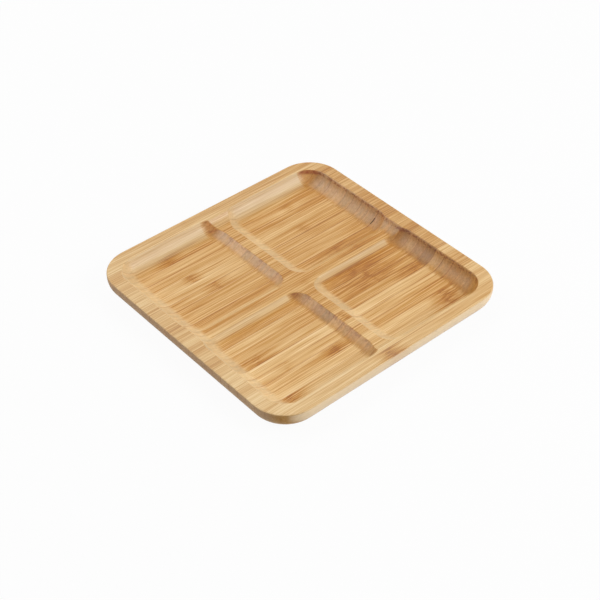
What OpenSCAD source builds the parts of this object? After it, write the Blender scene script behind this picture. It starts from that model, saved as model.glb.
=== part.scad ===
// Divided serving plate: four square compartments carved into a board of edge-glued bamboo strips.
// Units are millimetres. The plate stands on z = 0, centred on the z axis, and its strips run along x.

/* [Plate] */
// Side of the square plate
plate_side = 255; // [225:1:300]
// Height of the rim above the base
plate_height = 19; // [17:0.5:24]
// Radius of the four corners seen from above
corner_radius = 32.5; // [24:0.5:42]
// Number of bamboo strips glued side by side
strip_count = 24; // [16:1:32]

/* [Outer edge] */
// Radius of the quarter-round that undercuts the sides
underside_radius = 15.5; // [8:0.5:17.5]
// Radius of the eased outer edge of the rim
edge_radius = 1; // [0.5:0.1:2]

/* [Compartments] */
// Width of the flat top of the rim
rim_width = 13; // [9:0.5:18]
// Depth of the compartment floors below the rim
compartment_depth = 12; // [9.5:0.5:14]
// Radius of the coved walls of the compartments
cove_radius = 18; // [16:0.5:22]
// Radius at the corners of the flat floors
floor_corner_radius = 3; // [1:0.5:6]

/* [Dividers] */
// Width of the flat top of the dividers
divider_width = 11; // [7:0.5:18]
// Distance of the divider tops below the rim
divider_drop = 7.5; // [5:0.5:9]
// Distance from the rim's inner edge to the head of the cove at each divider's end
divider_setback = 2; // [1.5:0.5:4]
// Radius of the coves at the ends of the dividers
divider_cove_radius = 15; // [12:0.5:20]

/* [Hidden] */
$fn = 96;
// Room past a surface, so that a cut goes clean through it
clear = 1;
// Overlap under which a slice of the form is too thin to count
sliver = 0.01;
rim_reach = plate_side / 2 - rim_width;
floor_z = plate_height - compartment_depth;
divider_z = plate_height - divider_drop;
strip_width = plate_side / strip_count;
// Places are kept to a fine grid, so that what meets there meets exactly
grid = 0.005;
function to_grid(place) = round(place / grid) * grid;
// Horizontal run of a cove of this radius, from its foot up to this height
function cove_run(radius, height) = to_grid(sqrt(pow(radius, 2) - pow(radius - height, 2)));
wall_run = cove_run(cove_radius, compartment_depth + clear);
floor_outer = rim_reach - cove_run(cove_radius, compartment_depth);
floor_inner = divider_width / 2 + cove_run(cove_radius, compartment_depth - divider_drop);
floor_core = floor_outer - floor_inner - 2 * floor_corner_radius;
floor_centre = (floor_outer + floor_inner) / 2;
channel_reach = rim_reach - divider_setback;
channel_foot = channel_reach - cove_run(divider_cove_radius, divider_drop);
bamboo_tones = ["#d9b27a", "#d0a568", "#dcb985", "#c99b5e", "#d6ac70"];
tone_step = 3;

function strip_name(i) = str("bamboo_strip_", i < 10 ? "0" : "", i);

// Front and back faces of strip i, counted from the front edge of the plate
function strip_front(i) = to_grid((i - 1) * strip_width - plate_side / 2);
function strip_back(i) = strip_front(i + 1);
// Whether strip i passes between two places along y, in either order
function reaches(i, a, b) = strip_back(i) - min(a, b) > sliver && max(a, b) - strip_front(i) > sliver;

// Quarter of a disc, in the quadrant where x and y are positive
module quarter_disc(radius) {
    intersection() {
        circle(radius);
        square(2 * radius);
    }
}

// Section of the plate's outer edge, from a corner's centre line outwards along x
module outer_edge_section() {
    land_top = plate_height - edge_radius;
    foot = corner_radius - underside_radius;
    square([foot, plate_height]);
    translate([foot, underside_radius])
        square([underside_radius - edge_radius, plate_height - underside_radius]);
    translate([corner_radius - edge_radius, underside_radius])
        square([edge_radius, land_top - underside_radius]);
    translate([foot, underside_radius])
        mirror([0, 1])
            quarter_disc(underside_radius);
    translate([corner_radius - edge_radius, land_top])
        quarter_disc(edge_radius);
}

// Section of a coved wall as it is cut away, from the foot of the cove at the origin outwards along x
module cove_section(radius, depth) {
    intersection() {
        translate([0, radius])
            circle(radius);
        translate([0, -clear])
            square([radius, depth + 2 * clear]);
    }
}

// Section of a compartment's wall, from the centre line of a floor corner outwards along x
module compartment_wall_section() {
    square([floor_corner_radius, compartment_depth + clear]);
    translate([floor_corner_radius, 0])
        cove_section(cove_radius, compartment_depth);
}

// Length along y of a form whose two sides follow the section in children()
module straight_length(length, core, height) {
    rotate([90, 0, 0])
        linear_extrude(length, center = true) {
            translate([-core / 2, 0])
                square([core, height]);
            for (side = [0, 1])
                mirror([side, 0])
                    translate([core / 2, 0])
                        children();
        }
}

// End of a form that faces y, with its two round corners, which follow the section in children()
module round_end(core) {
    rotate([90, 0, 90])
        linear_extrude(core, center = true)
            children();
    for (side = [0, 1])
        mirror([side, 0])
            translate([core / 2, 0])
                rotate_extrude(angle = 90)
                    children();
}

// Square form with round corners, whose sides follow the section in children(), as far as strip i meets it
module square_form(i, centre, core, reach, height) {
    translate(centre) {
        if (reaches(i, centre.y - core / 2, centre.y + core / 2))
            straight_length(core, core, height)
                children();
        for (end = [-1, 1])
            if (reaches(i, centre.y + end * core / 2, centre.y + end * (core / 2 + reach)))
                rotate(end > 0 ? 0 : 180)
                    translate([0, core / 2])
                        round_end(core)
                            children();
    }
}

// The plate before carving: eased rim, short upright land and undercut sides
module blank(i) {
    square_form(i, [0, 0, 0], plate_side - 2 * corner_radius, corner_radius, plate_height)
        outer_edge_section();
}

// What is carved out for the compartment on this side of each divider
module compartment(i, side_x, side_y) {
    centre = [side_x * floor_centre, side_y * floor_centre, floor_z];
    square_form(i, centre, floor_core, floor_corner_radius + wall_run, compartment_depth + clear)
        compartment_wall_section();
}

// What is carved out to lower the divider that runs along x
module divider_channel() {
    translate([0, 0, divider_z])
        straight_length(2 * floor_inner, 2 * channel_foot, divider_drop + clear)
            cove_section(divider_cove_radius, divider_drop);
}

// One bamboo strip; its front and back are the faces that are glued to its neighbours
module bamboo_strip(i) {
    color(bamboo_tones[(i * tone_step) % len(bamboo_tones)])
        difference() {
            intersection() {
                blank(i);
                translate([-plate_side / 2 - clear, strip_front(i), -clear])
                    cube([plate_side + 2 * clear, strip_back(i) - strip_front(i), plate_height + 2 * clear]);
            }
            for (side_x = [-1, 1], side_y = [-1, 1])
                compartment(i, side_x, side_y);
            if (reaches(i, -floor_inner, floor_inner))
                divider_channel();
            if (reaches(i, -channel_reach, channel_reach))
                rotate(90)
                    divider_channel();
        }
}

for (i = [1 : strip_count])
    bamboo_strip(i);
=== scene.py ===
# A divided plate carved from edge-glued bamboo strips, on a white table in soft light from the right.
# Every strip is grown by one node tree from the rules of the plate's form, and takes the place of its solid.
import math

import bpy
from mathutils import Matrix, Vector


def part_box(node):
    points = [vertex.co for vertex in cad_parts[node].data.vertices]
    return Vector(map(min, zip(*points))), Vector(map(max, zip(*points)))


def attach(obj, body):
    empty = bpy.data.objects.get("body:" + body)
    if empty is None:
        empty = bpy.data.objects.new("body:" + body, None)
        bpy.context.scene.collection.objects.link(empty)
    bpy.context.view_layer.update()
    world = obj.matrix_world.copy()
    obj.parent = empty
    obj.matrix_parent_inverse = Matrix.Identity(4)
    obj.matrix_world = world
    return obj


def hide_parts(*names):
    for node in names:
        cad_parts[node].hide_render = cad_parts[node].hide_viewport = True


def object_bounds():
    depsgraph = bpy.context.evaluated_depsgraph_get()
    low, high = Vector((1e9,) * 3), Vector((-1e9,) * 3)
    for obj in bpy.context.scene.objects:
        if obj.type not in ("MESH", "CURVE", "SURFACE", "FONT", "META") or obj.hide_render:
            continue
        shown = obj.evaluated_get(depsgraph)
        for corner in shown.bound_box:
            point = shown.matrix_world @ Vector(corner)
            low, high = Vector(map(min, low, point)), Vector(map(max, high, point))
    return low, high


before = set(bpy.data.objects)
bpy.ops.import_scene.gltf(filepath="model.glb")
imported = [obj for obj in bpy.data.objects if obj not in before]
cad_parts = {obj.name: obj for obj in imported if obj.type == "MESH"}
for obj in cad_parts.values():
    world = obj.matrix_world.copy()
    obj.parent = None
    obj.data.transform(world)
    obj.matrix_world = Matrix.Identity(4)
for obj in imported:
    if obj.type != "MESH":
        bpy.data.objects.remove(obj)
cad_low, cad_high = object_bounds()

MM = 0.001
QUARTER_TURN = math.pi / 2

# The plate's form, in metres, with z = 0 at the base
STRIPS = sorted(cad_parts)
PLATE_SIDE = cad_high.x - cad_low.x
PLATE_HEIGHT = cad_high.z - cad_low.z
STRIP_WIDTH = PLATE_SIDE / len(STRIPS)
CORNER_RADIUS = 32.5 * MM
UNDERSIDE_RADIUS = 15.5 * MM
EDGE_RADIUS = 1 * MM
RIM_WIDTH = 13 * MM
COMPARTMENT_DEPTH = 12 * MM
COVE_RADIUS = 18 * MM
FLOOR_CORNER_RADIUS = 3 * MM
DIVIDER_WIDTH = 11 * MM
DIVIDER_DROP = 7.5 * MM
DIVIDER_SETBACK = 2 * MM
DIVIDER_COVE_RADIUS = 15 * MM
EASING = 1.6 * MM


def cove_run(radius, height):
    """Horizontal run of a cove, from its foot up to this height."""
    return math.sqrt(radius ** 2 - (radius - height) ** 2)


RIM_REACH = PLATE_SIDE / 2 - RIM_WIDTH
FLOOR_OUTER = RIM_REACH - cove_run(COVE_RADIUS, COMPARTMENT_DEPTH)
FLOOR_INNER = DIVIDER_WIDTH / 2 + cove_run(COVE_RADIUS, COMPARTMENT_DEPTH - DIVIDER_DROP)
DIVIDER_FOOT = RIM_REACH - DIVIDER_SETBACK - cove_run(DIVIDER_COVE_RADIUS, DIVIDER_DROP)

# Columns of a strip's mesh on each side of the middle: how many, and the length that they share
CENTRE_COLUMNS = 60
CENTRE_LENGTH = 24 * MM
FLOOR_COLUMNS = 20
WALL_COLUMNS = 48
WALL_LENGTH = 20 * MM
EDGE_COLUMNS = 48
FLOOR_LENGTH = PLATE_SIDE / 2 - UNDERSIDE_RADIUS - CENTRE_LENGTH - WALL_LENGTH
# Where the columns of the wall and of the edge start, the one on the outline, and the one that closes the end
WALL_START = CENTRE_COLUMNS + FLOOR_COLUMNS
EDGE_START = WALL_START + WALL_COLUMNS
OUTLINE_COLUMN = EDGE_START + EDGE_COLUMNS
LAST_COLUMN = OUTLINE_COLUMN + 1
# Rows of a strip's mesh, by the strip's number from the nearer edge, front or back
EDGE_ROWS = {1: 20, 2: 26, 3: 26, 4: 8, 11: 26, 12: 26}
PLAIN_ROWS = 3
# Parts of the step from one row or column to the next, by which neighbours are told apart
HALF_STEP = 0.5
NEAR = 0.25
# Points that are closer than this become one
WELD_DISTANCE = 0.001 * MM

# Each strip from the front to the back: its tone from 0, pale straw, to 1, dark amber, and its node's place
# along the strip, strength and reach, the lengths in millimetres
STRIP_LOOKS = [
    (0.37, -6, 1.9, 20),
    (0.26, 100, 0.3, 30),
    (0.34, -93, 1.6, 26),
    (0.26, 88, 1.8, 26),
    (0.44, -29, 1.3, 20),
    (0.36, -72, 0.5, 12),
    (0.23, 0, 1.4, 14),
    (0.44, 93, 1.2, 30),
    (0.53, 58, 1.05, 55),
    (0.45, 56, 1.5, 55),
    (0.56, 48, 1.05, 60),
    (0.43, 4, 0.4, 12),
    (0.5, 70, 0.8, 42),
    (0.59, 58, 0.95, 45),
    (0.46, 8, 0.3, 12),
    (0.46, -6, 0.2, 12),
    (0.5, -52, 1.1, 22),
    (0.38, 56, 0.5, 9),
    (0.39, -64, 1.5, 13),
    (0.51, 3, 0.2, 12),
    (0.42, 64, 0.5, 10),
    (0.51, -64, 1.1, 20),
    (0.34, 20, 0.1, 10),
    (0.45, -30, 0.2, 12),
]
# Distance between the nodes of one strip, and the strips that are cut from a shorter-jointed culm
NODE_SPACING = 240
SHORT_NODE_SPACING = 178
SHORT_JOINTED = {3, 8}
# Glue lines, by the number of the strip in front of them: some are dark, and one is open at the right wall
DARK_GLUE_STRENGTH = 1.0
FAINT_GLUE_STRENGTH = 0.45
DARK_GLUE = {5, 6, 7, 14, 16, 17, 20}
OPEN_GLUE = 14
OPEN_GLUE_FROM = 104
OPEN_GLUE_TO = 110


def feed(tree, socket, value):
    """Gives a socket a link from another socket, or a plain value."""
    if isinstance(value, Sum):
        value = value.socket
    if isinstance(value, bpy.types.NodeSocket):
        tree.links.new(value, socket)
    else:
        socket.default_value = value


class Sum:
    """A number that the nodes of a tree work out, so that a rule reads as ordinary arithmetic."""

    def __init__(self, tree, socket):
        self.tree = tree
        self.socket = socket

    def by(self, operation, *values):
        return arithmetic(self.tree, operation, self, *values)

    def __add__(self, other):
        return self.by("ADD", other)

    def __radd__(self, other):
        return self.by("ADD", other)

    def __sub__(self, other):
        return self.by("SUBTRACT", other)

    def __rsub__(self, other):
        return arithmetic(self.tree, "SUBTRACT", other, self)

    def __mul__(self, other):
        return self.by("MULTIPLY", other)

    def __rmul__(self, other):
        return self.by("MULTIPLY", other)

    def __truediv__(self, other):
        return self.by("DIVIDE", other)

    def __abs__(self):
        return self.by("ABSOLUTE")

    def least(self, other):
        return self.by("MINIMUM", other)

    def most(self, other):
        return self.by("MAXIMUM", other)

    def within(self, low, high):
        return self.most(low).least(high)

    def over(self, other):
        return self.by("GREATER_THAN", other)

    def under(self, other):
        return self.by("LESS_THAN", other)

    def squared(self):
        return self * self

    def root(self):
        return self.most(0).by("SQRT")


def arithmetic(tree, operation, *values):
    """One step of a rule, on sockets and plain numbers."""
    node = tree.nodes.new("ShaderNodeMath")
    node.operation = operation
    for socket, value in zip(node.inputs, values):
        feed(tree, socket, value)
    return Sum(tree, node.outputs[0])


def parted(tree, vector):
    """The x, y and z of a vector."""
    node = tree.nodes.new("ShaderNodeSeparateXYZ")
    feed(tree, node.inputs[0], vector)
    return [Sum(tree, socket) for socket in node.outputs]


def joined(tree, *values):
    """A vector from its x, y and z."""
    node = tree.nodes.new("ShaderNodeCombineXYZ")
    for socket, value in zip(node.inputs, values):
        feed(tree, socket, value)
    return node.outputs[0]


def cove(offset, radius):
    """Height of a cove over its foot, at this distance outside the foot."""
    return radius - (radius.squared() - offset.within(0, radius).squared()).root()


def carved_height(size, x, y):
    """Height of the carved top at a place in plan: the rim, the lowered dividers or a compartment."""
    half_core = size["Floor core"] / 2
    off_x = (abs(abs(x) - size["Floor centre"]) - half_core).most(0)
    off_y = (abs(abs(y) - size["Floor centre"]) - half_core).most(0)
    off_floor = (off_x.squared() + off_y.squared()).root() - size["Floor corner radius"]
    compartment = size["Floor height"] + cove(off_floor, size["Cove radius"])
    dividers = [divider_height(size, run, side) for run, side in ((x, y), (y, x))]
    upper = dividers[0].least(dividers[1]).by("SMOOTH_MIN", size["Plate height"], size["Easing"])
    return upper.by("SMOOTH_MIN", compartment, size["Easing"])


def divider_height(size, run, side):
    """Height of a divider along its run, coved up at its ends, and beside it too high to count."""
    end = cove(abs(run) - size["Divider foot"], size["Divider cove radius"])
    beside = abs(side).over(size["Divider reach"])
    return size["Divider height"] + end + beside


STRIP_SIZES = {
    "Plate side": PLATE_SIDE,
    "Plate height": PLATE_HEIGHT,
    "Corner radius": CORNER_RADIUS,
    "Underside radius": UNDERSIDE_RADIUS,
    "Edge radius": EDGE_RADIUS,
    "Floor height": PLATE_HEIGHT - COMPARTMENT_DEPTH,
    "Floor centre": (FLOOR_OUTER + FLOOR_INNER) / 2,
    "Floor core": FLOOR_OUTER - FLOOR_INNER - 2 * FLOOR_CORNER_RADIUS,
    "Floor corner radius": FLOOR_CORNER_RADIUS,
    "Cove radius": COVE_RADIUS,
    "Divider height": PLATE_HEIGHT - DIVIDER_DROP,
    "Divider foot": DIVIDER_FOOT,
    "Divider cove radius": DIVIDER_COVE_RADIUS,
    "Divider reach": FLOOR_INNER,
    "Easing": EASING,
}
STRIP_OWN = [
    "Front",
    "Back",
    "Crowd front",
    "Crowd back",
    "Tone",
    "Seed",
    "Node spacing",
    "Node place",
    "Node strength",
    "Node reach",
    "Front glue",
    "Back glue",
]


def strip_tree():
    """A node tree whose inputs are a strip's sizes and looks, and these inputs by name."""
    tree = bpy.data.node_groups.new("bamboo_strip", "GeometryNodeTree")
    tree.is_modifier = True
    tree.interface.new_socket("Strip", in_out="OUTPUT", socket_type="NodeSocketGeometry")
    tree.interface.new_socket("Rows", in_out="INPUT", socket_type="NodeSocketInt")
    for name in [*STRIP_SIZES, *STRIP_OWN]:
        tree.interface.new_socket(name, in_out="INPUT", socket_type="NodeSocketFloat")
    given = tree.nodes.new("NodeGroupInput")
    return tree, {socket.name: Sum(tree, socket) for socket in given.outputs if socket.name}


def worked(tree, kind, geometry, inputs=None, **settings):
    """The geometry after one more node of this kind."""
    node = tree.nodes.new(f"GeometryNode{kind}")
    for name, value in settings.items():
        setattr(node, name, value)
    feed(tree, node.inputs["Geometry"], geometry)
    for name, value in (inputs or {}).items():
        feed(tree, node.inputs[name], value)
    return node.outputs[0]


def flat_grid(tree, rows):
    """A flat grid, with its columns counted from the middle and its rings of points round the strip."""
    grid = tree.nodes.new("GeometryNodeMeshGrid")
    feed(tree, grid.inputs["Size X"], 2 * LAST_COLUMN)
    feed(tree, grid.inputs["Vertices X"], 2 * LAST_COLUMN + 1)
    # The top and the underside have one ring more than rows each, and the last ring closes the strip
    feed(tree, grid.inputs["Size Y"], 2 * rows + 2)
    feed(tree, grid.inputs["Vertices Y"], 2 * rows + 3)
    place = tree.nodes.new("GeometryNodeInputPosition")
    column, ring, _ = parted(tree, place.outputs[0])
    return grid.outputs["Mesh"], column, ring


def place_across(size, row):
    """The y of a row, from the strip's front to its back, with rows crowded at the plate's outer edges."""
    share = row / size["Rows"]
    turn = share * QUARTER_TURN
    front_crowding = size["Crowd front"] * (1 - turn.by("COSINE") - share)
    back_crowding = size["Crowd back"] * (turn.by("SINE") - share)
    return size["Front"] + (size["Back"] - size["Front"]) * (share + front_crowding + back_crowding)


def columns_run(column, first, count):
    """How many of a stretch's columns lie between the middle and this column."""
    return (column - first).within(0, count)


def place_along(size, signed_column, y):
    """The x of a column, out to the plate's outline, with columns close over the dividers, walls and edge."""
    column = abs(signed_column)
    half_side = size["Plate side"] / 2
    half_core = half_side - size["Corner radius"]
    past_core = (abs(y) - half_core).most(0)
    reach = half_core + (size["Corner radius"].squared() - past_core.squared()).root()
    inner = (
        columns_run(column, 0, CENTRE_COLUMNS) * (CENTRE_LENGTH / CENTRE_COLUMNS)
        + columns_run(column, CENTRE_COLUMNS, FLOOR_COLUMNS) * (FLOOR_LENGTH / FLOOR_COLUMNS)
        + columns_run(column, WALL_START, WALL_COLUMNS) * (WALL_LENGTH / WALL_COLUMNS)
    )
    narrowing = (reach - size["Underside radius"]) / (half_side - size["Underside radius"])
    edge_turn = QUARTER_TURN - columns_run(column, EDGE_START, EDGE_COLUMNS) * (QUARTER_TURN / EDGE_COLUMNS)
    return signed_column.by("SIGN") * (inner * narrowing + size["Underside radius"] * edge_turn.by("COSINE"))


def place_up(size, x, y, column, on_top):
    """The z of the skin, above or below, from how far inside the plate's outline it is."""
    half_core = size["Plate side"] / 2 - size["Corner radius"]
    off_x = (abs(x) - half_core).most(0)
    off_y = (abs(y) - half_core).most(0)
    depth = (size["Corner radius"] - (off_x.squared() + off_y.squared()).root()).most(0)
    depth = depth * column.under(OUTLINE_COLUMN - HALF_STEP)
    underside = cove(size["Underside radius"] - depth, size["Underside radius"])
    edge_foot = size["Plate height"] - size["Edge radius"]
    edge_run = (size["Edge radius"] - depth).most(0)
    edge = edge_foot + (size["Edge radius"].squared() - edge_run.squared()).root()
    top = carved_height(size, x, y).least(edge)
    skin = underside + on_top * (top - underside)
    closing = column.over(OUTLINE_COLUMN + HALF_STEP)
    return skin + closing * ((edge_foot + size["Underside radius"]) / 2 - skin)


def creased(tree, mesh, ring, rows):
    """The mesh made smooth, but for the long edges of its two glued faces."""
    smooth = worked(tree, "SetShadeSmooth", mesh)
    round_strip = abs(ring + HALF_STEP)
    front_edge = abs(round_strip - HALF_STEP).under(NEAR)
    back_edge = abs(round_strip - rows - HALF_STEP).under(NEAR)
    rounded = 1 - front_edge.most(back_edge)
    return worked(tree, "SetShadeSmooth", smooth, {"Shade Smooth": rounded}, domain="EDGE")


def with_looks(tree, geometry, size):
    """The strip with its own looks stored on it, for the bamboo finish to read."""
    looks = {
        "strip_look": (size["Tone"], size["Seed"], size["Node spacing"]),
        "strip_node": (size["Node place"], size["Node strength"], size["Node reach"]),
        "strip_glue": (size["Front glue"], size["Back glue"], 0),
    }
    for name, values in looks.items():
        stored = {"Name": name, "Value": joined(tree, *values)}
        geometry = worked(tree, "StoreNamedAttribute", geometry, stored, data_type="FLOAT_VECTOR")
    return geometry


def grow_strip(finish):
    """The node tree of one strip: a closed skin, wrapped round it in rows from front to back."""
    tree, size = strip_tree()
    rows = size["Rows"]
    flat, signed_column, ring = flat_grid(tree, rows)

    # Rings from 0 up lie on top, row by row to the back, and rings below 0 do the same underneath
    row = (abs(ring + HALF_STEP) - HALF_STEP).least(rows)
    on_top = abs(ring - rows / 2).under(rows / 2 + HALF_STEP)
    y = place_across(size, row)
    x = place_along(size, signed_column, y)
    z = place_up(size, x, y, abs(signed_column), on_top)

    geometry = creased(tree, flat, ring, rows)
    geometry = worked(tree, "SetPosition", geometry, {"Position": joined(tree, x, y, z)})
    geometry = worked(tree, "MergeByDistance", geometry, {"Distance": WELD_DISTANCE})
    geometry = with_looks(tree, geometry, size)
    geometry = worked(tree, "RealizeInstances", geometry)
    geometry = worked(tree, "SetMaterial", geometry, {"Material": finish})
    result = tree.nodes.new("NodeGroupOutput")
    feed(tree, result.inputs[0], geometry)
    return tree


def glue_strength(number):
    """How dark the glue line behind this strip is; the plate's front and back edges have none."""
    if number in (0, len(STRIPS)):
        return 0.0
    return DARK_GLUE_STRENGTH if number in DARK_GLUE else FAINT_GLUE_STRENGTH


def strip_values(node, number, look):
    """What one strip gives to the inputs of its node tree."""
    low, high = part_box(node)
    from_edge = min(number, len(STRIPS) + 1 - number)
    tone, node_place, node_strength, node_reach = look
    return {
        **STRIP_SIZES,
        "Rows": EDGE_ROWS.get(from_edge, PLAIN_ROWS),
        "Front": low.y,
        "Back": high.y,
        "Crowd front": float(number == 1),
        "Crowd back": float(number == len(STRIPS)),
        "Tone": tone,
        "Seed": float(number),
        "Node spacing": float(SHORT_NODE_SPACING if number in SHORT_JOINTED else NODE_SPACING),
        "Node place": float(node_place),
        "Node strength": node_strength,
        "Node reach": float(node_reach),
        "Front glue": glue_strength(number - 1),
        "Back glue": glue_strength(number),
    }


def grown_mesh(tree, values):
    """The plain mesh that a node tree grows from these values."""
    empty = bpy.data.meshes.new("grower")
    grower = bpy.data.objects.new("grower", empty)
    bpy.context.scene.collection.objects.link(grower)
    modifier = grower.modifiers.new("strip", "NODES")
    modifier.node_group = tree
    for socket in tree.interface.items_tree:
        if socket.in_out == "INPUT":
            modifier[socket.identifier] = values[socket.name]
    depsgraph = bpy.context.evaluated_depsgraph_get()
    mesh = bpy.data.meshes.new_from_object(
        grower.evaluated_get(depsgraph), preserve_all_data_layers=True, depsgraph=depsgraph)
    bpy.data.objects.remove(grower)
    bpy.data.meshes.remove(empty)
    return mesh


def make_strip(tree, node, number, look):
    """One strip as a plain mesh, in the place of its solid."""
    mesh = grown_mesh(tree, strip_values(node, number, look))
    piece = bpy.data.objects.new(f"finished_strip_{number:02d}", mesh)
    bpy.context.scene.collection.objects.link(piece)
    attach(piece, "root")
    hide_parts(node)


def srgb(red, green, blue):
    """A colour as it looks on screen, from 0 to 255, turned into light."""
    def light(value):
        value = value / 255
        return value / 12.92 if value <= 0.04045 else ((value + 0.055) / 1.055) ** 2.4
    return (light(red), light(green), light(blue), 1)


NOISE_DETAIL = 2
NOISE_ROUGHNESS = 0.55
NOISE_MIDDLE = 0.5


def noise(x, y, z):
    """A smooth random number from 0 to 1, at a place in a pattern."""
    node = x.tree.nodes.new("ShaderNodeTexNoise")
    feed(x.tree, node.inputs["Vector"], joined(x.tree, x, y, z))
    node.inputs["Scale"].default_value = 1
    node.inputs["Detail"].default_value = NOISE_DETAIL
    node.inputs["Roughness"].default_value = NOISE_ROUGHNESS
    return Sum(x.tree, node.outputs["Fac"])


def swing(x, y, z):
    """A smooth random number, as far below 0 as above it, at a place in a pattern."""
    return noise(x, y, z) - NOISE_MIDDLE


def step(value, band):
    """0 before the band that these two numbers bound, 1 after it, and smooth between."""
    node = value.tree.nodes.new("ShaderNodeMapRange")
    node.interpolation_type = "SMOOTHSTEP"
    start, end = band
    feed(value.tree, node.inputs["Value"], value)
    feed(value.tree, node.inputs["From Min"], start)
    feed(value.tree, node.inputs["From Max"], end)
    return Sum(value.tree, node.outputs["Result"])


def mixed(tree, share, first, second, blend="MIX"):
    """The first colour with a share of the second over it."""
    node = tree.nodes.new("ShaderNodeMix")
    node.data_type = "RGBA"
    node.blend_type = blend
    feed(tree, node.inputs["Factor"], share)
    feed(tree, node.inputs["A"], first)
    feed(tree, node.inputs["B"], second)
    return node.outputs["Result"]


def ramp(value, stops):
    """The colour at this value, between the colours of stops from 0 to 1."""
    node = value.tree.nodes.new("ShaderNodeValToRGB")
    feed(value.tree, node.inputs[0], value)
    elements = node.color_ramp.elements
    for position, _ in stops[1:-1]:
        elements.new(position)
    for element, (_, colour) in zip(elements, stops):
        element.color = colour
    return node.outputs[0]


def attribute(tree, name):
    """The three numbers that a strip holds under this name."""
    node = tree.nodes.new("ShaderNodeAttribute")
    node.attribute_name = name
    return parted(tree, node.outputs["Vector"])


# The plate's form in millimetres, in which the finish is worked out
RIM_TOP = PLATE_HEIGHT / MM
HALF_SIDE = PLATE_SIDE / MM / 2
CORE_REACH = (PLATE_SIDE / 2 - CORNER_RADIUS) / MM
RIM_START = (CORNER_RADIUS - RIM_WIDTH) / MM
STRIP_PITCH = STRIP_WIDTH / MM
OPEN_GLUE_PLACE = OPEN_GLUE * STRIP_PITCH - HALF_SIDE
# The middle of a strip, as a part of its width
STRIP_MIDDLE = 0.5

# Patterns in the wood: the length, width and height of their grains
HAIR_SIZE = (30, 0.35, 0.45)
LINE_SIZE = (70, 0.8, 1.1)
STREAK_SIZE = (180, 2, 3)
CLOUD_SIZE = (70, 8, 12)
BUNDLE_SIZE = (160, 0.75, 0.75)
FLAME_SIZE = (14, 0.9, 1.5)
SPECK_SIZE = (3, 0.8, 1.2)
PITH_SIZE = (3, 2, 2)
# Patterns that don't change along a strip: the width and height of their bands
RAGGED_SIZE = (1.1, 2)
CHIP_SIZE = (3, 2)
SMEAR_SIZE = (4.5, 14)
# How far the strips lie apart in the patterns, and in the one row of noise that casts a shade on each
STRIP_SHIFT = 7.31
STRIP_CAST_SHIFT = 3.7
STRIP_CAST_ROW = 0.5
# How long and high the bends in the fibres are, how far they swing, and how long a glue line stays whole
WANDER_LENGTH = 60
WANDER_HEIGHT = 30
WANDER_REACH = 2
GLUE_LENGTH = 40

# How far the skin leans in a direction, as a part of its normal: where a mark starts and where it is full
END_GRAIN_LEAN = (0.04, 0.32)
CUT_LEAN = (0.01, 0.12)
SIDE_LEAN = (0.2, 0.7)
# Outer sides: the facing of the front and back ones, which get a painted highlight, and of the corners
# between, which get painted shade
SIDE_HIGHLIGHT_LEAN = (0.75, 0.97)
NEAR_CORNER_SHADE_LEAN = (0.3, 0.7)
FRONT_LEAN = (0.35, 0.7)
BACK_LEAN = (0.1, 0.5)
# Walls leaning away from the light, which get painted shade, their corners turning to the front, the painted
# grey sheen on them, and where painted sheen and light fade out on them
SHADED_WALL_LEAN = (0.02, 0.3)
CORNER_SHADE_LEAN = (0.1, 0.5)
GREY_SHEEN_LEAN = (0.04, 0.4)
FACING_AWAY_LEAN = (0.01, 0.1)
# Heights, depths and distances in millimetres between which a mark fades in or out
RUBBED_HEIGHT = (RIM_TOP - 0.8, RIM_TOP - 0.1)
INSIDE_END = (RIM_START + 1, RIM_START + 3)
SIDE_START = (RIM_START + 1.5, RIM_START + 5.5)
DIVIDER_FADE = (20, 60)
DIVIDER_END = (7, 13)
# Depths below the rim top of the painted corner shade and of the rim chips with painted shadow
CORNER_SHADE_DEPTH = (2, 4.4)
LIP_DEPTH = (2.2, 3.5)
NODE_CORE_REACH = (0.5, 4.5)
STAIN_REACH = (0, 1.1)
JOINT_REACH = (0.12, 0.32)
GAP_REACH = (0.4, 0.7)
# Values of a pattern between which its marks fade in or out
BUNDLE_EDGE = (0.1, 0.36)
CHIP_EDGE = (0.48, 0.6)
FLAME_EDGE = (0.36, 0.62)
SPECK_EDGE = (0.35, 0.6)
GLUE_EDGE = (0.3, 0.6)

# Walls in painted shade: what their painted corner shade loses deep down and on the dividers, what the rim
# chips with their painted shadow lose on the dividers, and how much shallower that band is there
CORNER_SHADE_DEPTH_LOSS = 0.85
CORNER_SHADE_DIVIDER_LOSS = 0.6
LIP_DIVIDER_LOSS = 0.5
LIP_DIVIDER_SHALLOWING = 1.5
# Nodes: how ragged they are in millimetres, the least of their tails, and the warmth of tails and core
NODE_RAGGEDNESS = 16
LEAST_TAIL = 0.3
TAIL_WARMTH = 0.34
CORE_WARMTH = 0.16
# Glue lines: what is left where they break, and what the rubbed rim loses
LEAST_GLUE = 0.4
RUBBED_GLUE_LOSS = 0.5

# A share that drifts over the plate: in the middle, and its change for each millimetre right and back
# Below: warmth of the painted shade on walls facing away from the light, painted light on walls facing the
# back, painted sheen on walls facing the front, rubbed wear on the rim, painted grey sheen, and the lightness
# of the painted shade
SHADED_WALL_WARMTH = (0.22, 0, -0.0007)
BACK_WALL_LIGHT = (0.12, -0.001, 0)
FRONT_WALL_SHEEN = (0.17, 0.001, 0)
RUBBED_PALENESS = (0.13, -0.0005, 0)
GREY_SHEEN_SHARE = (0.22, 0, 0.002)
SHADED_WALL_LIGHTNESS = (0.02, 0, 0.0009)
# A share that differs on the walls in painted shade: elsewhere, and how much more there
PITH_SHADE = (0.25, 0.15)
STRIP_CAST = (0.3, 0.5)

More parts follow.
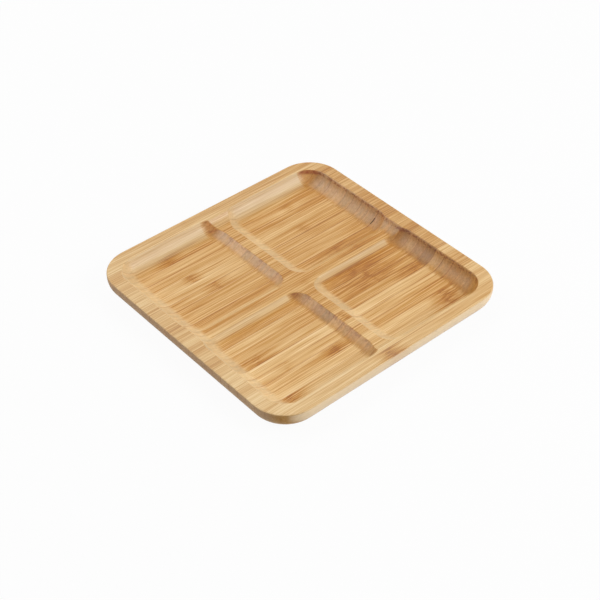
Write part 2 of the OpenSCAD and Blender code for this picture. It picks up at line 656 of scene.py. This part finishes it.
# Warmth: what each mark adds, and how the rim and the cut ends keep to the tones of their strips
COARSE_GRAIN = {"streak": 0.5, "cloud": 0.4}
FINE_GRAIN = {"line": 1.5, "hair": 0.9}
FINE_GRAIN_LOSS = 0.4
# Towards the right the wood grows warmer, painted in place of the weaker sheen there
PLAIN_WARMTH = {"stain": 0.12, "along": 0.0006, "uncut": 0.025, "rubbed": 0.01}
# Painted shade warms the walls facing away from the light, their corners, and the outer end sides and near
# corners; the rim mark also holds dark chips
SHADE_WARMTH = {"corner_shade": 0.27, "lip_chips_and_shadow": 0.2, "side_shade": 0.08, "near_corner_shade": 0.12}
MIDDLE_TONE = 0.43
RUBBED_CONTRAST = 0.5
END_GRAIN_TONE = 0.45
END_GRAIN_PULL = 0.45
# Paleness, a painted sheen and light: the lean to the right and what it adds, step by step, then what each
# mark adds
RIGHT_LIGHT_STEPS = [((0.01, 0.35), 0.36), ((0.5, 0.9), 0.25)]
SLOPE_SHEEN = {"cut": 0.25, "turned_back": -0.13, "divider_end": -0.35}
FACING_AWAY_LOSS = 0.8
# Painted grey sheen on the walls in painted shade: how uneven it is, and how it changes on the dividers and
# in corners
GREY_SHEEN_UNEVENNESS = {"pith": 1.6, "smear": 1.2}
GREY_SHEEN_ON_DIVIDER = 0.1
GREY_SHEEN_CORNER_LOSS = 0.8
# Shares of the colours that lie over the warm wood: a painted highlight on the outer front and back sides,
# painted shade in the corners with the rim chips, painted grey sheen on the outer end sides, and the glue
SIDE_HIGHLIGHT_SHARE = {"side_highlight": 0.75}
CORNER_AND_LIP_SHARE = {"corner_shade": 0.6, "lip_chips_and_shadow": 0.5}
SIDE_SHEEN_SHARE = {"side_shade": 0.4, "near_corner_shade": -0.4}
GLUE_SHARE = {"joint": 0.9}
# Shade: what each mark takes away, the bundles and the open glue for real, the corner and end side marks as
# painted shade, the rim mark as chips with painted shadow; and the unevenness of cut ends
DARKENING = {"bundle": 0.05, "gap": 0.75, "corner_shade": 0.1, "lip_chips_and_shadow": 0.16, "side_shade": 0.06}
CUT_BUNDLE_SHADE = 0.1
SMEAR_SHADE = 0.5
SIDE_MOTTLE_LOSS = 0.6
# Gloss and relief: the plain value, and what each mark adds
PLAIN_ROUGHNESS = 0.42
ROUGHENING = {
    "hair": 0.25,
    "streak": 0.2,
    "end_grain": 0.06,
    "shaded_wall": -0.04,
    "turned_back": 0.25,
    "side_shade": 0.3,
    "gap": 0.5,
}
RELIEF = {"hair": 1, "line": 0.5, "bundle": -0.5, "joint": -0.5, "gap": -3}
RELIEF_STRENGTH = 0.3
RELIEF_HEIGHT = 0.03 * MM
OIL_COAT = 0.15
OIL_ROUGHNESS = 0.3

# Colours of the wood by its warmth, and of what lies over it: painted sheen and rubbed wear, a painted
# highlight on the sides, painted grey sheen, the corner colour of painted shade and rim chips, painted sheen
# on the end sides, and the glue's tint
WARMTH_COLOURS = [
    (0.0, srgb(240, 206, 152)),
    (0.25, srgb(227, 186, 123)),
    (0.45, srgb(212, 163, 96)),
    (0.65, srgb(198, 141, 57)),
    (0.85, srgb(183, 117, 24)),
    (1.0, srgb(160, 94, 8)),
]
SHEEN_AND_WEAR_COLOUR = srgb(232, 214, 175)
SIDE_HIGHLIGHT_COLOUR = srgb(253, 226, 186)
GREY_SHEEN_COLOUR = srgb(200, 168, 138)
CORNER_AND_LIP_COLOUR = srgb(168, 92, 46)
SIDE_SHEEN_COLOUR = srgb(198, 172, 154)
GLUE_TINT = srgb(200, 150, 100)


class Wood:
    """The marks on the carved bamboo, each a number that is worked out at every point of its skin: the wood's
    own grain, nodes and glue, and painted light and shade on its walls and sides.
    """

    def __init__(self, tree):
        self.tree = tree
        here = tree.nodes.new("ShaderNodeTexCoord")
        self.along, self.across, self.up = [value / MM for value in parted(tree, here.outputs["Object"])]
        self.facing_x, self.facing_y, self.facing_z = parted(tree, here.outputs["Normal"])
        self.tone, self.seed, self.node_spacing = attribute(tree, "strip_look")
        self.node_place, self.node_strength, self.node_reach = attribute(tree, "strip_node")
        self.front_glue, self.back_glue, _ = attribute(tree, "strip_glue")
        self.shift = self.seed * STRIP_SHIFT
        self.lay_fibres()
        self.find_faces()
        self.shade_walls()
        self.grow_nodes()
        self.glue_strips()

    def grains(self, size, across):
        """A place in a pattern of grains with this length, width and height."""
        length, width, height = size
        return self.along / length + self.shift, across / width, self.up / height

    def bands(self, size, across):
        """A place in a pattern of bands along the strip, with this width and height."""
        width, height = size
        return self.shift, across / width, self.up / height

    def weighed(self, weights):
        """The marks that a table names, added up by their weights."""
        return sum(getattr(self, mark) * weight for mark, weight in weights.items())

    def drifting(self, share):
        """A share that changes over the plate."""
        middle, to_right, to_back = share
        return middle + self.along * to_right + self.across * to_back

    def where_shaded_wall(self, share):
        """A share that differs on the walls in painted shade."""
        plain, more = share
        return plain + self.shaded_wall * more

    def lay_fibres(self):
        """Fibres that run along the strip and wander a little, with fine bundles among them."""
        bend = swing(self.along / WANDER_LENGTH, self.shift, self.up / WANDER_HEIGHT)
        self.fibre = self.across + bend * WANDER_REACH
        self.hair = swing(*self.grains(HAIR_SIZE, self.fibre))
        self.line = swing(*self.grains(LINE_SIZE, self.fibre))
        self.streak = swing(*self.grains(STREAK_SIZE, self.fibre))
        self.cloud = swing(*self.grains(CLOUD_SIZE, self.across))
        cells = self.tree.nodes.new("ShaderNodeTexVoronoi")
        cells.inputs["Scale"].default_value = 1
        feed(self.tree, cells.inputs["Vector"], joined(self.tree, *self.grains(BUNDLE_SIZE, self.fibre)))
        self.bundle = 1 - step(Sum(self.tree, cells.outputs["Distance"]), BUNDLE_EDGE)
        length, width, height = PITH_SIZE
        self.pith = swing(self.along / length, self.across / width + self.shift, self.up / height)
        self.smear = swing(*self.bands(SMEAR_SIZE, self.across))

    def find_faces(self):
        """Faces of the carving by the way they lean, and the outer sides: a painted highlight at the front
        and the back, painted shade at the ends and corners.
        """
        upright = 1 - abs(self.facing_z)
        off_along = (abs(self.along) - CORE_REACH).most(0)
        off_across = (abs(self.across) - CORE_REACH).most(0)
        off_core = (off_along.squared() + off_across.squared()).root()
        self.inside = 1 - step(off_core, INSIDE_END)
        self.on_divider = 1 - step(abs(self.along), DIVIDER_FADE)
        self.end_grain = step(abs(self.facing_x), END_GRAIN_LEAN)
        self.cut = step(upright, CUT_LEAN)
        self.uncut = 1 - self.cut
        self.rubbed = step(self.up, RUBBED_HEIGHT)
        self.turned_front = step(0 - self.facing_y, FRONT_LEAN)
        self.turned_back = step(self.facing_y, BACK_LEAN)
        self.divider_end = self.turned_front * (1 - step(abs(self.along), DIVIDER_END))
        side = step(upright, SIDE_LEAN) * step(off_core, SIDE_START)
        self.side = side
        self.side_highlight = side * step(abs(self.facing_y), SIDE_HIGHLIGHT_LEAN)
        # The rest of the outer sides, at the ends and corners, get painted shade, with a painted grey sheen
        # on the flat end sides
        self.side_shade = side - self.side_highlight
        self.near_corner_shade = self.side_shade * step(abs(self.facing_y), NEAR_CORNER_SHADE_LEAN)

    def shade_walls(self):
        """Walls facing away from the light, marked for painted shade, with darker painted shade high in their
        corners that turn to the front, and dark chips with painted shadow under the rim edge.
        """
        self.shaded_wall = step(0 - self.facing_x, SHADED_WALL_LEAN) * self.inside
        self.in_corner = step(0 - self.facing_y, CORNER_SHADE_LEAN)
        below_top = RIM_TOP - self.up - self.on_divider * DIVIDER_DROP / MM
        shallow = 1 - step(below_top, CORNER_SHADE_DEPTH) * CORNER_SHADE_DEPTH_LOSS
        corner_shade = self.shaded_wall * self.in_corner * shallow
        self.corner_shade = corner_shade * (1 - self.on_divider * CORNER_SHADE_DIVIDER_LOSS)
        # Dark chips along the rim edge of these walls, with painted shadow under the edge
        chipped = step(noise(*self.bands(CHIP_SIZE, self.across)), CHIP_EDGE)
        at_lip = 1 - step(below_top + self.on_divider * LIP_DIVIDER_SHALLOWING, LIP_DEPTH)
        lip_chips_and_shadow = self.shaded_wall * chipped * at_lip * (1 - self.rubbed)
        self.lip_chips_and_shadow = lip_chips_and_shadow * (1 - self.on_divider * LIP_DIVIDER_LOSS)

    def grow_nodes(self):
        """Nodes, where the culm's cross wall was: a dark ragged core with long flames along the fibres."""
        half_spacing = self.node_spacing / 2
        ragged = swing(*self.bands(RAGGED_SIZE, self.fibre)) * NODE_RAGGEDNESS
        from_node = abs((self.along - self.node_place + ragged).by("WRAP", half_spacing, 0 - half_spacing))
        flame = step(noise(*self.grains(FLAME_SIZE, self.fibre)), FLAME_EDGE)
        speck = step(noise(*self.grains(SPECK_SIZE, self.fibre)), SPECK_EDGE)
        tails = (1 - step(from_node, (0, self.node_reach))) * (LEAST_TAIL + flame * (1 - LEAST_TAIL))
        core = (1 - step(from_node, NODE_CORE_REACH)) * speck
        self.node_mark = self.node_strength * (tails * TAIL_WARMTH + core * CORE_WARMTH)

    def glue_strips(self):
        """Glue lines between the strips, broken here and there, with a stain beside them and one open gap."""
        in_strip = ((self.across + HALF_SIDE) / STRIP_PITCH).by("FRACT")
        to_joint = (STRIP_MIDDLE - abs(in_strip - STRIP_MIDDLE)) * STRIP_PITCH
        glue = self.front_glue + in_strip.over(STRIP_MIDDLE) * (self.back_glue - self.front_glue)
        whole = step(noise(self.along / GLUE_LENGTH, self.seed + in_strip.by("ROUND"), 0), GLUE_EDGE)
        glue = glue * (LEAST_GLUE + whole * (1 - LEAST_GLUE)) * (1 - self.rubbed * RUBBED_GLUE_LOSS)
        self.stain = (1 - step(to_joint, STAIN_REACH)) * glue
        self.joint = (1 - step(to_joint, JOINT_REACH)) * glue
        open_stretch = self.along.over(OPEN_GLUE_FROM) * self.along.under(OPEN_GLUE_TO)
        self.gap = (1 - step(abs(self.across - OPEN_GLUE_PLACE), GAP_REACH)) * open_stretch

    def warmth(self):
        """How warm the wood is, from 0, pale straw, to 1, dark amber, warmer under painted shade and cooler
        under painted light on walls facing the back.
        """
        grain = self.weighed(COARSE_GRAIN) + self.weighed(FINE_GRAIN) * (1 - self.end_grain * FINE_GRAIN_LOSS)
        warmth = self.tone + grain + self.node_mark + self.weighed(PLAIN_WARMTH)
        warmth = warmth + self.rubbed * (self.tone - MIDDLE_TONE) * RUBBED_CONTRAST
        warmth = warmth + self.end_grain * END_GRAIN_PULL * (END_GRAIN_TONE - warmth)
        warmth = warmth + self.shaded_wall * self.drifting(SHADED_WALL_WARMTH) + self.weighed(SHADE_WARMTH)
        # Walls facing the back are cooled as painted light
        return warmth - self.turned_back * self.inside * self.drifting(BACK_WALL_LIGHT)

    def paleness(self):
        """How pale the wood is: a painted sheen and light, on cut faces more than floors, on those that face
        right most, on walls in painted shade least, and the rubbed rim paler from wear.
        """
        lit_right = sum(step(self.facing_x, lean) * share for lean, share in RIGHT_LIGHT_STEPS)
        turned = self.weighed(SLOPE_SHEEN) + self.turned_front * self.drifting(FRONT_WALL_SHEEN)
        pale = turned.most(lit_right).most(self.rubbed * self.drifting(RUBBED_PALENESS))
        facing_away = step(0 - self.facing_x, FACING_AWAY_LEAN) * self.inside
        return pale * (1 - facing_away * FACING_AWAY_LOSS) * (1 - self.side_shade)

    def grey_sheen(self):
        """How much painted grey sheen lies on the walls in painted shade, unevenly, and least in the corners.
        """
        grey_sheen = self.shaded_wall * step(0 - self.facing_x, GREY_SHEEN_LEAN) * (1 + self.weighed(GREY_SHEEN_UNEVENNESS))
        grey_sheen = grey_sheen * (self.drifting(GREY_SHEEN_SHARE) + self.on_divider * GREY_SHEEN_ON_DIVIDER)
        return (grey_sheen * (1 - self.in_corner * GREY_SHEEN_CORNER_LOSS)).most(0)

    def mottle(self):
        """Uneven shade of the cut ends: smears, specks of pith, and a cast of its own for each strip."""
        smeared = self.smear * SMEAR_SHADE - self.pith * self.where_shaded_wall(PITH_SHADE)
        strip_cast = swing(self.shift * STRIP_CAST_SHIFT, STRIP_CAST_ROW, STRIP_CAST_ROW)
        strip_cast = strip_cast * self.where_shaded_wall(STRIP_CAST)
        return self.end_grain * (smeared * (1 - self.side * SIDE_MOTTLE_LOSS) + strip_cast * (1 - self.side))

    def shade(self):
        """Lightness of the wood, from 1 down, with painted shade on walls facing away from the light, in
        their corners, under the rim edge and on the outer end sides.
        """
        shade = 1 - self.weighed(DARKENING) - self.bundle * self.end_grain * CUT_BUNDLE_SHADE - self.mottle()
        return shade + self.shaded_wall * self.drifting(SHADED_WALL_LIGHTNESS)

    def colour(self):
        """Colour of the wood, with what lies over it from first to last: painted sheen and wear, a painted
        side highlight, painted grey sheen, painted shade with rim chips, painted sheen on the end sides, glue
        and shade.
        """
        colour = ramp(self.warmth(), WARMTH_COLOURS)
        for share, over in (
            (self.paleness(), SHEEN_AND_WEAR_COLOUR),
            (self.weighed(SIDE_HIGHLIGHT_SHARE), SIDE_HIGHLIGHT_COLOUR),
            (self.grey_sheen(), GREY_SHEEN_COLOUR),
            (self.weighed(CORNER_AND_LIP_SHARE), CORNER_AND_LIP_COLOUR),
            (self.weighed(SIDE_SHEEN_SHARE), SIDE_SHEEN_COLOUR),
        ):
            colour = mixed(self.tree, share, colour, over)
        glued = mixed(self.tree, 1, colour, GLUE_TINT, "MULTIPLY")
        colour = mixed(self.tree, self.weighed(GLUE_SHARE), colour, glued)
        shade = self.shade()
        return mixed(self.tree, 1, colour, joined(self.tree, shade, shade, shade), "MULTIPLY")


def bamboo():
    """Oiled bamboo: strips of different tones, long fibres with fine bundles, nodes and thin glue lines."""
    material = bpy.data.materials.new("oiled_bamboo")
    material.use_nodes = True
    tree = material.node_tree
    shader = tree.nodes["Principled BSDF"]
    wood = Wood(tree)
    feed(tree, shader.inputs["Base Color"], wood.colour())
    feed(tree, shader.inputs["Roughness"], PLAIN_ROUGHNESS + wood.weighed(ROUGHENING))
    shader.inputs["Coat Weight"].default_value = OIL_COAT
    shader.inputs["Coat Roughness"].default_value = OIL_ROUGHNESS
    bump = tree.nodes.new("ShaderNodeBump")
    bump.inputs["Strength"].default_value = RELIEF_STRENGTH
    bump.inputs["Distance"].default_value = RELIEF_HEIGHT
    feed(tree, bump.inputs["Height"], wood.weighed(RELIEF))
    feed(tree, shader.inputs["Normal"], bump.outputs[0])
    return material


def seen_directly(tree):
    """1 for what the camera sees straight or in gloss or glass, and 0 for light on the way to a surface."""
    path = tree.nodes.new("ShaderNodeLightPath")
    seen = Sum(tree, path.outputs["Is Camera Ray"])
    for name in ("Is Glossy Ray", "Is Transmission Ray"):
        seen = seen.most(Sum(tree, path.outputs[name]))
    return seen


TABLE_REACH = 4
TABLE_GREY = (0.75, 0.75, 0.75, 1)
TABLE_ROUGHNESS = 0.9
TABLE_WHITENING = 0.95


def blended(tree, share, first, second):
    """One shader with a share of another over it."""
    node = tree.nodes.new("ShaderNodeMixShader")
    for socket, value in zip(node.inputs, (share, first, second)):
        feed(tree, socket, value)
    return node.outputs[0]


def table_finish():
    """White to the eye but for a soft shadow, a pale grey to the light, and clear from below."""
    material = bpy.data.materials.new("white_table")
    material.use_nodes = True
    tree = material.node_tree
    surface = tree.nodes["Principled BSDF"]
    surface.inputs["Base Color"].default_value = TABLE_GREY
    surface.inputs["Roughness"].default_value = TABLE_ROUGHNESS
    surface.inputs["Specular IOR Level"].default_value = 0
    glow = tree.nodes.new("ShaderNodeEmission")
    clear = tree.nodes.new("ShaderNodeBsdfTransparent")
    side = tree.nodes.new("ShaderNodeNewGeometry")
    bright = blended(tree, seen_directly(tree) * TABLE_WHITENING, surface.outputs[0], glow.outputs[0])
    sided = blended(tree, side.outputs["Backfacing"], bright, clear.outputs[0])
    feed(tree, tree.nodes["Material Output"].inputs["Surface"], sided)
    return material


def white_table():
    """A wide flat table top under the plate."""
    corners = [(x * TABLE_REACH, y * TABLE_REACH, 0) for x, y in ((-1, -1), (1, -1), (1, 1), (-1, 1))]
    mesh = bpy.data.meshes.new("table")
    mesh.from_pydata(corners, [], [(0, 1, 2, 3)])
    mesh.materials.append(table_finish())
    table = bpy.data.objects.new("table", mesh)
    bpy.context.scene.collection.objects.link(table)


ROOM_LIGHT = 0.21
LEAN_RIGHT = 0.3
LEAN_BACK = 0.5


def white_room():
    """Soft light from all round, stronger from the right and the back, and white where it is seen."""
    world = bpy.data.worlds.new("white_room")
    bpy.context.scene.world = world
    world.use_nodes = True
    tree = world.node_tree
    background = tree.nodes["Background"]
    background.inputs["Color"].default_value = (1, 1, 1, 1)
    direction = tree.nodes.new("ShaderNodeTexCoord")
    to_right, to_back, _ = parted(tree, direction.outputs["Generated"])
    light = ROOM_LIGHT * (1 + to_right * LEAN_RIGHT + to_back * LEAN_BACK)
    feed(tree, background.inputs["Strength"], light + seen_directly(tree) * (1 - light))


def toward(azimuth, elevation):
    """Direction at this angle round from +x, and above the table, in degrees."""
    a = math.radians(azimuth)
    e = math.radians(elevation)
    return Vector((math.cos(a) * math.cos(e), math.sin(a) * math.cos(e), math.sin(e)))


def soft_box(name, azimuth, elevation, distance, size, energy, mirrored=True):
    """A square lamp that looks at the plate, and may be left out of its sheen."""
    lamp = bpy.data.lights.new(name, "AREA")
    lamp.shape = "SQUARE"
    lamp.size = size
    lamp.energy = energy
    holder = bpy.data.objects.new(name, lamp)
    bpy.context.scene.collection.objects.link(holder)
    direction = toward(azimuth, elevation)
    holder.visible_glossy = mirrored
    holder.location = direction * distance
    holder.rotation_euler = direction.to_track_quat("Z", "Y").to_euler()


CAMERA_AIM = Vector((-3.76, -6.0, -3.01)) * MM
CAMERA_AZIMUTH = -130.03
CAMERA_ELEVATION = 41.466
CAMERA_ROLL = -0.97
CAMERA_DISTANCE = 1195.7 * MM
CAMERA_LENS = 82.67


def camera():
    """The photograph's view, over the plate's left front corner."""
    lens = bpy.data.cameras.new("camera")
    lens.lens = CAMERA_LENS
    holder = bpy.data.objects.new("camera", lens)
    bpy.context.scene.collection.objects.link(holder)
    back = toward(CAMERA_AZIMUTH, CAMERA_ELEVATION)
    level = back.to_track_quat("Z", "Y").to_matrix()
    turned = level @ Matrix.Rotation(math.radians(CAMERA_ROLL), 3, "Z")
    holder.matrix_world = Matrix.Translation(CAMERA_AIM + back * CAMERA_DISTANCE) @ turned.to_4x4()
    bpy.context.scene.camera = holder


camera()
white_table()
white_room()
soft_box("high_box", azimuth=55, elevation=45, distance=4, size=2.5, energy=44, mirrored=False)
soft_box("right_box", azimuth=-54, elevation=32, distance=2, size=1.1, energy=25)
soft_box("left_box", azimuth=126, elevation=46, distance=2, size=1.5, energy=15)
strip_grower = grow_strip(bamboo())
for number, (node, look) in enumerate(zip(STRIPS, STRIP_LOOKS), start=1):
    make_strip(strip_grower, node, number, look)
bpy.context.scene.view_settings.view_transform = "Standard"
